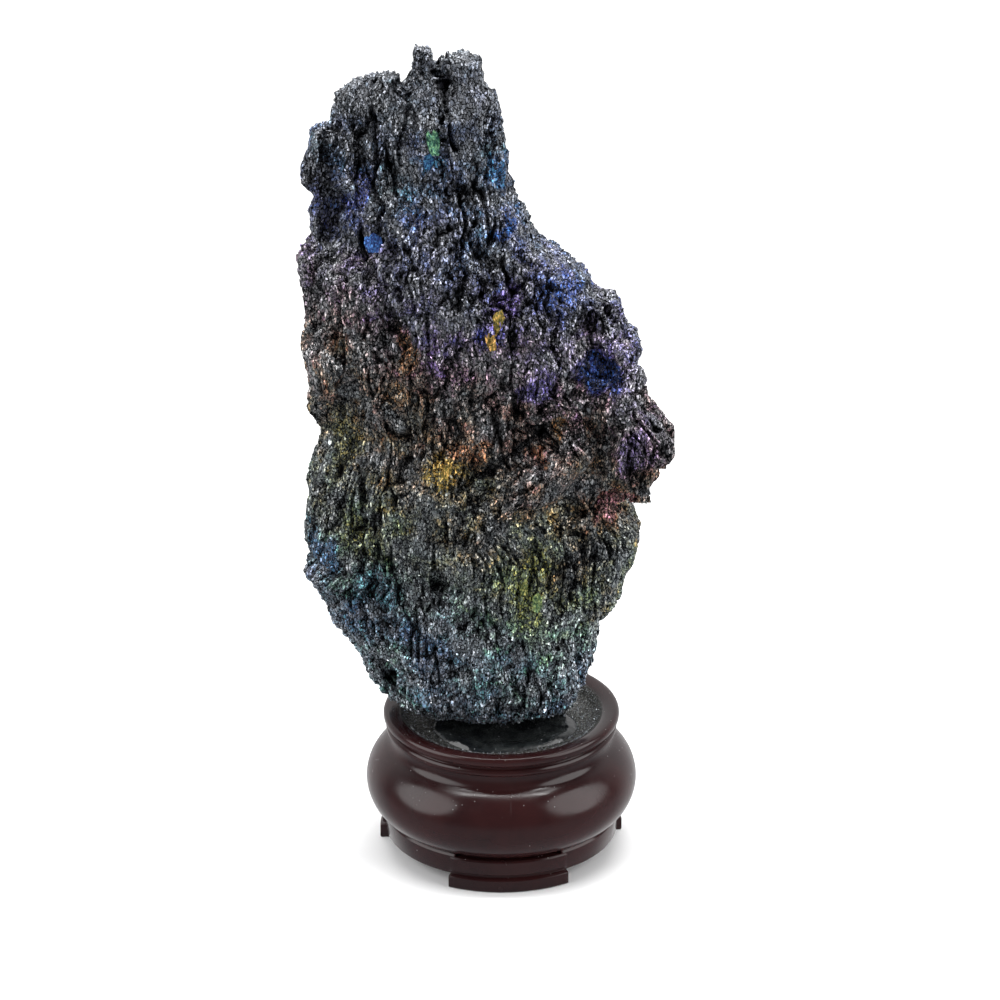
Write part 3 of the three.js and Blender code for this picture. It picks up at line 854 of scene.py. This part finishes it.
def growCrystals(rock, plan, shardMaterial, plateMaterial):
    rng = np.random.default_rng(plan["seed"])
    grown = []
    shape = takeShape(modelShard())
    count = plan["shardsEach"]
    low, high = plan["shardLength"]
    for part in range(plan["shardPieces"]):
        places, outwards, cavity = sampleSkin(rock, count, plan["shardShyness"], rng)
        length = (low + (high - low) * rng.random(count) ** plan["shardFalloff"]) * mm
        width = length * rng.uniform(*plan["shardWidth"], count)
        thick = length * rng.uniform(*plan["shardThickness"], count)
        sizes = np.stack([width, thick, length], axis=1)
        axes = crystalAxes(outwards, plan["shardLean"], 1.0, rng)
        places = places - outwards * plan["shardSink"] * mm
        values = {"tone": rng.random(count), "cavity": cavity}
        grown.append(scatter(f"crystalShards{part + 1}", shape, places, sizes, axes, values, shardMaterial))
    shape = takeShape(modelPlate())
    count = plan["platesInAll"]
    low, high = plan["plateLength"]
    places, outwards, cavity = sampleSkin(rock, count, plan["plateShyness"], rng)
    length = (low + (high - low) * rng.random(count) ** plan["plateFalloff"]) * mm
    width = length * rng.uniform(*plan["plateWidth"], count)
    sizes = np.stack([width, length, plan["plateThickness"] * length], axis=1)
    axes = crystalAxes(outwards, plan["plateLean"], 1.0, rng)[:, [0, 2, 1]]
    values = {"tone": rng.random(count), "cavity": cavity}
    grown.append(scatter("crystalPlates", shape, places, sizes, axes, values, plateMaterial))
    print("crystals:", plan["shardPieces"] * plan["shardsEach"], "shards and", count, "plates")
    return grown


# Flakes: broad crystals with a clear colour, each placed one by one on the broad face. A row has its
# place from the stand's axis, height, width and length in mm, turn, place on the spectrum and tone.

crystalFlakes = [
    (-14.1, 166.6, 1.6, 3.6, 6, 0.33, 0.38),
    (-15.0, 162.4, 1.3, 2.0, -10, 0.14, 0.4),
    (-26.7, 145.0, 2.3, 2.5, 0, 0.07, 0.85),
    (-0.9, 128.8, 1.5, 3.4, -18, 0.52, 0.6),
    (-2.3, 125.4, 1.3, 2.6, 14, 0.57, 0.5),
    (18.8, 116.5, 1.4, 2.2, 20, 0.04, 0.5),
    (-11.6, 97.0, 1.2, 2.2, -24, 0.55, 0.4),
    (4.6, 70.0, 1.2, 2.8, 5, 0.46, 0.35),
    (7.6, 66.0, 1.3, 2.6, -4, 0.42, 0.3),
]

flakePlan = {
    "thickness": 0.5,
    "rise": 0.1,
    "facing": (0.0, -0.92, 0.39),
    "skinShare": 0.15,  # how far a flake leans with the skin under it
}


def modelFlake():
    # A flat twelve-sided disc with an uneven edge, domed by an inset and drawn to one side
    deselectAll()
    bpy.ops.mesh.primitive_cylinder_add(vertices=12, radius=0.5, depth=0.6, end_fill_type="NGON")
    flake = bpy.context.active_object
    for vertex in flake.data.vertices:
        vertex.co.xy *= 1 + 0.4 * noise.noise(Vector((vertex.co.x * 4, vertex.co.y * 4, 3)))
    for polygon in flake.data.polygons:
        polygon.select = polygon.normal.z > 0.9
    bpy.ops.object.mode_set(mode="EDIT")
    bpy.ops.mesh.select_mode(type="FACE")
    bpy.ops.mesh.inset(thickness=0.12, depth=0.3)
    bpy.ops.transform.translate(value=(0.05, -0.03, 0))
    bpy.ops.mesh.select_mode(type="VERT")
    bpy.ops.object.mode_set(mode="OBJECT")
    settle(flake)
    return flake


def layFlakes(rock, flakes, plan, material):
    # Each flake is laid half sunk, where a line from the front meets the rock
    bpy.context.view_layer.update()
    rows = np.array(flakes)
    places = []
    axes = []
    for x, z, turn in rows[:, [0, 1, 4]]:
        start = standCentre + Vector((x, -60, z)) * mm
        place, outwards = rock.ray_cast(start, (0, 1, 0))[1:3]
        facing = (Vector(plan["facing"]) + plan["skinShare"] * outwards).normalized()
        along = Matrix.Rotation(math.radians(turn), 3, facing) @ Vector((0, 0, 1))
        across = along.cross(facing).normalized()
        axes.append((across, facing.cross(across), facing))
        places.append(place + facing * plan["rise"] * mm)
    widths, lengths, films, tones = rows[:, [2, 3, 5, 6]].T
    count = len(flakes)
    sizes = np.stack([widths, lengths, np.full(count, plan["thickness"])], axis=1) * mm
    values = {"tone": tones, "cavity": np.zeros(count), "ownFilm": films, "ownShare": np.ones(count)}
    shape = takeShape(modelFlake())
    return scatter("colourFlakes", shape, np.array(places), sizes, np.array(axes), values, material)


# The stand: one glossy moulding, turned from its outline, with three feet

standPlan = {
    "belly": {"radius": 30.1, "curve": 9.15, "height": 15.6},
    "steps": 168,
    "footTurn": 3.8,
    "footHalfAngle": 29,
    "slotShare": 0.92,  # the slot over a foot is a little narrower than the foot
    "footCount": 3,
    "edgeRounding": 0.22,
}


def standOutline(plan):
    # Radius and height in mm, from the hollow's roof down, out, up the outside and into the dish
    belly = plan["belly"]
    outline = [(0.02, 26.2), (19.5, 26.2), (22.8, 3.05), (25.9, 3.05), (26.1, 7.3), (25.75, 7.75)]
    for step in range(25):
        angle = math.radians(-58 + 122 * step / 24)
        radius = belly["radius"] - belly["curve"] + belly["curve"] * math.cos(angle)
        outline.append((radius, belly["height"] + belly["curve"] * math.sin(angle)))
    outline += [(24.5, 24.25), (24.2, 24.8), (24.0, 25.6), (23.95, 26.4), (24.05, 27.0), (24.4, 27.3)]
    outline += [(25.2, 27.45), (25.55, 27.8), (25.65, 28.3), (25.45, 28.8), (24.95, 29.1), (24.8, 29.5)]
    outline += [(25.4, 29.8), (25.95, 30.2), (26.15, 30.6), (26.15, 31.3), (25.95, 31.8), (25.5, 32.1)]
    outline += [(24.9, 32.15), (23.6, 31.95), (22.7, 31.7), (22.2, 31.35), (21.6, 30.4), (20.9, 29.4)]
    outline += [(20.1, 28.95), (0.02, 28.85)]
    return outline


def spinOutline(name, outline, sweep, start, steps, closed):
    # An outline of radius and height is drawn and spun about the stand's axis
    piece = drawOutline(name, [(radius, 0, height) for radius, height in outline])
    piece.data.transform(Matrix.Rotation(start, 4, "Z"))
    openMesh(piece)
    if closed:
        bpy.ops.mesh.edge_face_add()
    bpy.ops.mesh.select_all(action="SELECT")
    bpy.ops.mesh.spin(steps=steps, angle=sweep, center=(0, 0, 0), axis=(0, 0, 1))
    bpy.ops.mesh.select_all(action="SELECT")
    bpy.ops.mesh.remove_doubles(threshold=0.00002)
    closeMesh()
    return piece


def buildStand(plan):
    stand = spinOutline("mouldedStand", standOutline(plan), 2 * math.pi, 0, plan["steps"], False)
    pad = [(22.9, 0), (26.95, 0), (27.2, 0.25), (27.2, 2.75), (26.95, 3.0), (26.1, 3.15), (26.0, 3.7)]
    pad += [(26.45, 3.85), (26.6, 4.1), (26.5, 6.9), (26.2, 7.2), (22.9, 7.2)]
    slot = [(24.6, 7.25), (28.0, 7.25), (28.0, 8.75), (24.6, 8.75)]
    half = math.radians(plan["footHalfAngle"])
    for foot in range(plan["footCount"]):
        middle = -math.pi / 2 + math.radians(plan["footTurn"]) + 2 * math.pi * foot / plan["footCount"]
        slotHalf = plan["slotShare"] * half
        cutter = spinOutline("slotCutter", slot, 2 * slotHalf, middle + slotHalf, 20, True)
        applyModifier(stand, "BOOLEAN", operation="DIFFERENCE", object=cutter, solver="EXACT")
        bpy.data.objects.remove(cutter, do_unlink=True)
        block = spinOutline("footBlock", pad, 2 * half, middle + half, 24, True)
        applyModifier(stand, "BOOLEAN", operation="UNION", object=block, solver="EXACT")
        bpy.data.objects.remove(block, do_unlink=True)
    applyModifier(stand, "BEVEL", width=plan["edgeRounding"] * mm, segments=2,
                  limit_method="ANGLE", angle_limit=math.radians(50), use_clamp_overlap=True)
    stand.location = standCentre
    settle(stand)
    shadeSmooth(stand, 38)
    print("stand:", len(stand.data.polygons), "faces")
    return stand


standLook = {
    "deep": (0.014, 0.0042, 0.0047),
    "warm": (0.024, 0.0064, 0.0064),
    "cloud": (55, 3, 0.55),  # a noise's scale, detail and roughness
    "cloudRange": (0.3, 0.7),
    "dust": (0.25, 0.24, 0.24),
    "dustAmount": 0.34,
    "dustCover": 0.7,
    "dustRough": 0.4,
    "smear": (140, 4, 0.6),
    "smearRange": (0.35, 0.75),
    "roughLow": 0.15,
    "roughSpread": 0.13,
    "ior": 1.46,
    "specular": 0.33,
    "dishEdge": (22.0 * mm, 22.8 * mm),
    "dishFloor": (28.3 * mm, 28.8 * mm),
    "dishDullness": 0.4,
    "grit": (2400, 2, 0.7),
    "gritRange": (0.44, 0.66),
    "gritDark": (0.012, 0.0125, 0.0115),
    "gritLight": (0.2, 0.205, 0.19),
    "gritCover": 0.85,
    "seamAcross": 2.0 * mm,
    "seamEdge": (0.04 * mm, 0.13 * mm),
    "seamRise": 0.3,
    "ripple": (190, 2, 0.5),
    "rippleRise": 0.35,
    "fine": (2600, 2, 0.6),
    "fineRise": 0.03,
    "relief": (0.35, 0.2 * mm),  # the strength of what rises, and its greatest height
}

dustPlan = {
    "specksPerMetre": 1500,
    "speckEdge": (0.1, 0.24),
    "upward": (0.1, 1.0),
    "clumps": (160, 3, 0.6),
    "clumpRange": (0.4, 0.7),
}


def buildDustGroup(plan):
    # Fine settled dust: small specks, closer together where the surface looks up
    group, given, result = newGroup(
        "settledDust",
        [("Place", "NodeSocketVector", None), ("Amount", "NodeSocketFloat", 0.5)],
        [("Mask", "NodeSocketFloat")],
    )
    place, amount = list(given.outputs)[:2]
    cells = addNode(group, "ShaderNodeTexVoronoi", {"Vector": place, "Scale": plan["specksPerMetre"]})
    parts = addNode(group, "ShaderNodeSeparateColor", {0: cells.outputs["Color"]})
    near = mapRange(group, cells.outputs["Distance"], *plan["speckEdge"], 1.0, 0.0)
    facing = splitVector(group, addNode(group, "ShaderNodeNewGeometry").outputs["Normal"])["Z"]
    upward = mapRange(group, facing, *plan["upward"], 0.05, 1.0)
    clumps = mapRange(group, noiseNode(group, place, *plan["clumps"]), *plan["clumpRange"])
    share = mathNode(group, "MULTIPLY", mathNode(group, "MULTIPLY", upward, clumps), amount)
    kept = mathNode(group, "LESS_THAN", parts.outputs[0], share)
    feed(group, result, {"Mask": mathNode(group, "MULTIPLY", near, kept)})
    return group


dustGroup = buildDustGroup(dustPlan)


def standMaterial(look):
    material, tree, shader, place = newMaterial("glossBrownMoulding")
    cloud = mapRange(tree, noiseNode(tree, place, *look["cloud"]), *look["cloudRange"])
    body = mixColour(tree, cloud, colour(*look["deep"]), colour(*look["warm"]))
    dust = placeGroup(tree, dustGroup, Place=place, Amount=look["dustAmount"]).outputs["Mask"]
    dustCover = mathNode(tree, "MULTIPLY", dust, look["dustCover"])
    body = mixColour(tree, dustCover, body, colour(*look["dust"]))
    smear = mapRange(tree, noiseNode(tree, place, *look["smear"]), *look["smearRange"])
    rough = mathNode(tree, "MULTIPLY_ADD", smear, look["roughSpread"], look["roughLow"])
    rough = mathNode(tree, "MULTIPLY_ADD", dust, look["dustRough"], rough, clamp=True)
    # The dish is dull with crystal grit
    fromAxis = vectorNode(tree, "SUBTRACT", place, tuple(standCentre))
    parts = splitVector(tree, fromAxis)
    reach = vectorNode(tree, "LENGTH", vectorNode(tree, "MULTIPLY", fromAxis, (1, 1, 0)), output=1)
    inDish = mathNode(tree, "MULTIPLY", mapRange(tree, reach, *look["dishEdge"], 1.0, 0.0),
                      mapRange(tree, parts["Z"], *look["dishFloor"]))
    grain = mapRange(tree, noiseNode(tree, place, *look["grit"]), *look["gritRange"])
    grit = mixColour(tree, grain, colour(*look["gritDark"]), colour(*look["gritLight"]))
    body = mixColour(tree, mathNode(tree, "MULTIPLY", inDish, look["gritCover"]), body, grit)
    rough = mathNode(tree, "MULTIPLY_ADD", inDish, look["dishDullness"], rough, clamp=True)
    # The moulding's seam stands a little proud on the front
    fromSeam = mathNode(tree, "ABSOLUTE", mathNode(tree, "SUBTRACT", parts["X"], look["seamAcross"]))
    seam = mapRange(tree, fromSeam, *look["seamEdge"], 1.0, 0.0)
    ripple = mathNode(tree, "MULTIPLY", noiseNode(tree, place, *look["ripple"]), look["rippleRise"])
    fine = mathNode(tree, "MULTIPLY", noiseNode(tree, place, *look["fine"]), look["fineRise"])
    relief = mathNode(tree, "MULTIPLY_ADD", seam, look["seamRise"], ripple)
    addRelief(tree, shader, mathNode(tree, "ADD", relief, fine), *look["relief"])
    feed(tree, shader, {"Base Color": body, "Roughness": rough, "IOR": look["ior"],
                        "Specular IOR Level": look["specular"]})
    return material


# The adhesive: a set, glossy pool in the dish with a wandering edge

gluePlan = {
    "halfWidth": 15.4,
    "halfDepth": 14.6,
    "centreX": 0.4,
    "centreY": -2.6,
    "floor": 28.95,
    "rise": 1.15,
    "swell": 0.8,
    "edgeWander": 0.12,
    "profile": ((0.0, 0.5, 0.68, 0.8, 0.9, 0.96, 1.0), (1.0, 0.75, 0.55, 0.95, 0.8, 0.45, 0.0)),
}


def buildGlue(plan):
    deselectAll()
    bpy.ops.mesh.primitive_uv_sphere_add(segments=128, ring_count=48, radius=1)
    glue = bpy.context.active_object
    glue.name = "gluePool"
    glue.data.name = "gluePool"
    points = readPoints(glue.data)
    for index, (x, y, z) in enumerate(points):
        angle = math.atan2(y, x)
        rim = Vector((1.3 * math.cos(angle), 1.3 * math.sin(angle), 4))
        edge = 1 + plan["edgeWander"] * noise.noise(rim)
        swell = 1 + plan["swell"] * noise.noise(Vector((x * 2.6, y * 2.6, 9)))
        height = plan["rise"] * swell * np.interp(math.hypot(x, y), *plan["profile"]) if z > 0 else 0
        across = plan["centreX"] + plan["halfWidth"] * x * edge
        depth = plan["centreY"] + plan["halfDepth"] * y * edge
        points[index] = np.array((across, depth, plan["floor"] + height)) * mm + np.array(standCentre)
    writePoints(glue.data, points)
    applyModifier(glue, "SMOOTH", factor=0.5, iterations=4)
    shadeSmooth(glue)
    return glue


glueLook = {
    "deep": (0.006, 0.007, 0.008),
    "cloudy": (0.03, 0.034, 0.034),
    "cloud": (240, 4, 0.6),
    "cloudRange": (0.35, 0.7),
    "dust": (0.3, 0.31, 0.32),
    "dustAmount": 0.5,
    "smearRange": (0.3, 0.8),
    "roughLow": 0.12,
    "roughSpread": 0.2,
    "ripple": (300, 3, 0.5),
    "relief": (0.5, 0.6 * mm),
}


def glueMaterial(look):
    material, tree, shader, place = newMaterial("setAdhesive")
    cloud = noiseNode(tree, place, *look["cloud"])
    body = mapRange(tree, cloud, *look["cloudRange"])
    body = mixColour(tree, body, colour(*look["deep"]), colour(*look["cloudy"]))
    dust = placeGroup(tree, dustGroup, Place=place, Amount=look["dustAmount"])
    body = mixColour(tree, dust.outputs["Mask"], body, colour(*look["dust"]))
    smear = mapRange(tree, cloud, *look["smearRange"])
    rough = mathNode(tree, "MULTIPLY_ADD", smear, look["roughSpread"], look["roughLow"])
    feed(tree, shader, {"Base Color": body, "Roughness": rough})
    addRelief(tree, shader, noiseNode(tree, place, *look["ripple"]), *look["relief"])
    return material


# Loose glitter that has fallen from the crystal onto the dish

glitterPlan = {
    "seed": 7,
    "count": 5200,
    "size": (0.12, 0.42),
    "falloff": 2.5,
    "widthShare": 0.7,
    "thicknessShare": 0.5,
    "lean": 0.9,
    "dishRadius": 22.0,
    "floor": 29.0,
    "dishRise": ((0, 20.0, 21.0, 22.2), (0, 0, 1.6, 2.7)),
}


def scatterGlitter(plan, material):
    rng = np.random.default_rng(plan["seed"])
    shape = takeShape(modelShard())
    count = plan["count"]
    radius = plan["dishRadius"] * np.sqrt(rng.uniform(0.3, 1, count))
    angle = rng.uniform(0, 2 * math.pi, count)
    lift = np.interp(radius, *plan["dishRise"])
    places = np.stack([radius * np.cos(angle), radius * np.sin(angle), plan["floor"] + lift], axis=1)
    places = places * mm + np.array(standCentre)
    low, high = plan["size"]
    length = (low + (high - low) * rng.random(count) ** plan["falloff"]) * mm
    sizes = np.stack([length * plan["widthShare"], length * plan["thicknessShare"], length], axis=1)
    outwards = np.tile((0.0, 0.0, 1.0), (count, 1))
    axes = crystalAxes(outwards, plan["lean"], 0.0, rng)
    values = {"tone": rng.random(count), "cavity": np.zeros(count)}
    return scatter("looseGlitter", shape, places, sizes, axes, values, material)


# Building the pieces

rockLook = {
    "facetsPerMetre": 1900.0,
    "facetTilt": 1.2,
    "toneShare": 0.0,
    "fibreShare": 0.45,
    "contrast": 1.3,
    "darkGrey": colour(0.02, 0.021, 0.023),
    "lightGrey": colour(0.8, 0.83, 0.88),
    # The gap colour is painted shade, laid in gaps, pits, creases and along facet borders
    "paintedGapShade": colour(0.0015, 0.0015, 0.002),
    "cavityShade": 1.0,
    "borderShade": 0.9,
    "roughLow": 0.26,
    "roughSpread": 0.2,
    "gapRough": 0.3,
    "metallic": 0.92,
}
shardLook = dict(rockLook, facetsPerMetre=2600.0, facetTilt=0.35, toneShare=0.7, fibreShare=0.3,
                 contrast=1.4, lightGrey=colour(0.74, 0.77, 0.82), cavityShade=0.75, borderShade=0.35,
                 roughLow=0.2)
plateLook = dict(shardLook, facetsPerMetre=1200.0, facetTilt=0.12, borderShade=0.0, roughLow=0.1)
flakeLook = dict(plateLook, fibreShare=0.55, contrast=1.1, facetsPerMetre=1500.0, facetTilt=0.6,
                 borderShade=0.6, roughLow=0.36)

rockMaterial = crystalMaterial("fibrousCarborundum", rockLook)
shardMaterial = crystalMaterial("crystalCrust", shardLook)
plateMaterial = crystalMaterial("crystalPlate", plateLook)
flakeMaterial = crystalMaterial("colourFlake", flakeLook)
print("materials ready")

rock = buildRock(rockPlan)
rock.data.materials.append(rockMaterial)
grown = growCrystals(rock, crustPlan, shardMaterial, plateMaterial)
grown.append(layFlakes(rock, crystalFlakes, flakePlan, flakeMaterial))
for crystals in grown:
    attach(crystals, "root")
for rockPart in partRock(rock, rockPlan["parts"]):
    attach(rockPart, "root")
    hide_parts("carborundum_specimen")
    print(rockPart.name, len(rockPart.data.vertices), "points")
bpy.data.objects.remove(rock, do_unlink=True)

stand = buildStand(standPlan)
stand.data.materials.append(standMaterial(standLook))
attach(stand, "root")
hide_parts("stand")

glue = buildGlue(gluePlan)
glue.data.materials.append(glueMaterial(glueLook))
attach(glue, "root")
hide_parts("glue_bed")

glitter = scatterGlitter(glitterPlan, shardMaterial)
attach(glitter, "root")
print("all pieces built")


# The studio: a pale floor, soft lights at both sides and above, and the camera

studio = {
    "floorHalf": 4.0,
    "floorColour": (0.86, 0.86, 0.86),
    "behind": (0.92, 0.92, 0.93),
    "below": (0.5, 0.54, 0.57),
    "front": (0.17, 0.173, 0.18),
    "lights": [  # name, shape, place, size and power
        ("leftSoftbox", "ELLIPSE", (-0.85, -0.26, 0.5), (1.0, 1.05), 10.2),
        ("rightSoftbox", "ELLIPSE", (0.85, -0.26, 0.5), (1.0, 1.05), 10.2),
        ("topSoftbox", "RECTANGLE", (0.0, 0.25, 1.1), (1.0, 0.7), 17.0),
        ("frontStrip", "RECTANGLE", (0.0, -0.08, 0.95), (0.8, 0.03), 3.0),
    ],
    "belowFade": (-0.35, 0.05),
    "behindFade": (0.2, 0.65),
    "lookAt": (0, 0, 0.1),
}


def buildStudio(plan):
    deselectAll()
    bpy.ops.mesh.primitive_grid_add(x_subdivisions=8, y_subdivisions=8, size=2 * plan["floorHalf"])
    floor = bpy.context.active_object
    floor.name = "studioFloor"
    material, tree, shader, spot = newMaterial("paleFloor")
    tint = mapRange(tree, noiseNode(tree, spot, 6, 2, 0.5), 0.2, 0.8, 0.97, 1.0)
    shade = mixColour(tree, tint, colour(0, 0, 0), colour(*plan["floorColour"]))
    feed(tree, shader, {"Base Color": shade, "Roughness": 0.7})
    floor.data.materials.append(material)
    floor.visible_glossy = False  # gloss mirrors the studio round it, not the bright floor
    target = Vector(plan["lookAt"]) + standCentre
    for name, shape, place, size, power in plan["lights"]:
        data = bpy.data.lights.new(name, "AREA")
        data.shape = shape
        data.size, data.size_y = size
        data.energy = power
        light = bpy.data.objects.new(name, data)
        light.location = Vector(place) + standCentre
        light.rotation_euler = (target - light.location).to_track_quat("-Z", "Y").to_euler()
        bpy.context.collection.objects.link(light)
    # Round the object it is bright behind, dimmer below and nearly dark on the camera's side
    world = bpy.data.worlds.new("studioWorld")
    world.use_nodes = True
    sky = world.node_tree
    direction = splitVector(sky, addNode(sky, "ShaderNodeTexCoord").outputs["Generated"])
    lower = mapRange(sky, direction["Z"], *plan["belowFade"], 1.0, 0.0)
    rear = mapRange(sky, direction["Y"], *plan["behindFade"])
    shade = mixColour(sky, lower, colour(*plan["front"]), colour(*plan["below"]))
    shade = mixColour(sky, rear, shade, colour(*plan["behind"]))
    feed(sky, sky.nodes["Background"], {"Color": shade})
    bpy.context.scene.world = world
    bpy.context.scene.view_settings.view_transform = "Standard"


cameraPlan = {
    "distance": 0.75,
    "height": 0.4033,
    "pitchDown": 23.2,
    "lens": 135.6,
    "sensorWidth": 36.0,
    "reach": 20.0,
    "nudge": -0.0003,
}


def placeCamera(plan):
    data = bpy.data.cameras.new("photoCamera")
    data.lens = plan["lens"]
    data.sensor_width = plan["sensorWidth"]
    data.clip_end = plan["reach"]
    camera = bpy.data.objects.new("photoCamera", data)
    camera.location = standCentre + Vector((plan["nudge"], -plan["distance"], plan["height"]))
    camera.rotation_euler = (math.radians(90 - plan["pitchDown"]), 0, 0)
    bpy.context.collection.objects.link(camera)
    bpy.context.scene.camera = camera


buildStudio(studio)
placeCamera(cameraPlan)

print("studio ready")
